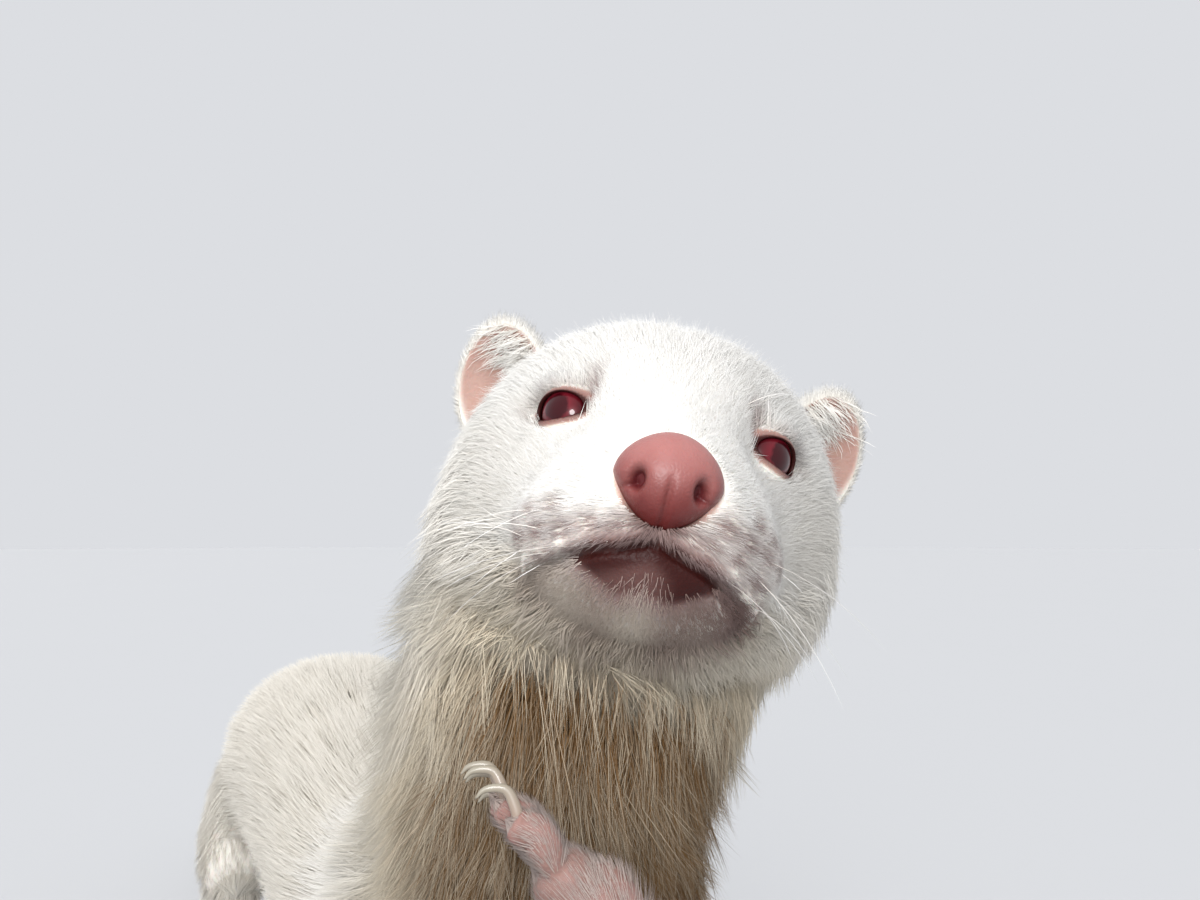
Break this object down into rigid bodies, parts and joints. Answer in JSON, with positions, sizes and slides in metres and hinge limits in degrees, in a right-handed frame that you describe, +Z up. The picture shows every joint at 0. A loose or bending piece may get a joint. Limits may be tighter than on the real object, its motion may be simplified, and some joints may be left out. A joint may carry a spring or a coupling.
{
  "type": "ferret",
  "caption": "White albino ferret standing with its neck raised, its head turned and tipped, and its right forepaw lifted; ruby eyes, pink nose.",
  "frame": {"origin": "middle of the bounding box at floor level", "axes": "+Z up, -Y the way the body faces, +Y towards the tail, +X the animal's left"},
  "size_m": [0.0858, 0.3918, 0.1798],
  "materials": {
    "coat": "dense off-white fur with a cream tint on the neck, throat and flanks",
    "skin": "bare pink skin, slightly moist on the nose",
    "eye": "wet, very glossy dark ruby"
  },
  "bodies": {
    "root": {"head": "coat", "nose": "skin", "eye_left": "eye", "eye_right": "eye", "ear_left": "coat", "ear_right": "coat", "neck": "coat", "torso_front": "coat", "torso_rear": "coat", "tail_root": "coat", "tail_end": "coat", "foreleg_left": "coat", "foreleg_right": "coat", "forepaw_left": "skin", "forepaw_right": "skin", "hind_leg_left": "coat", "hind_leg_right": "coat", "hind_foot_left": "skin", "hind_foot_right": "skin"}
  },
  "joints": []
}
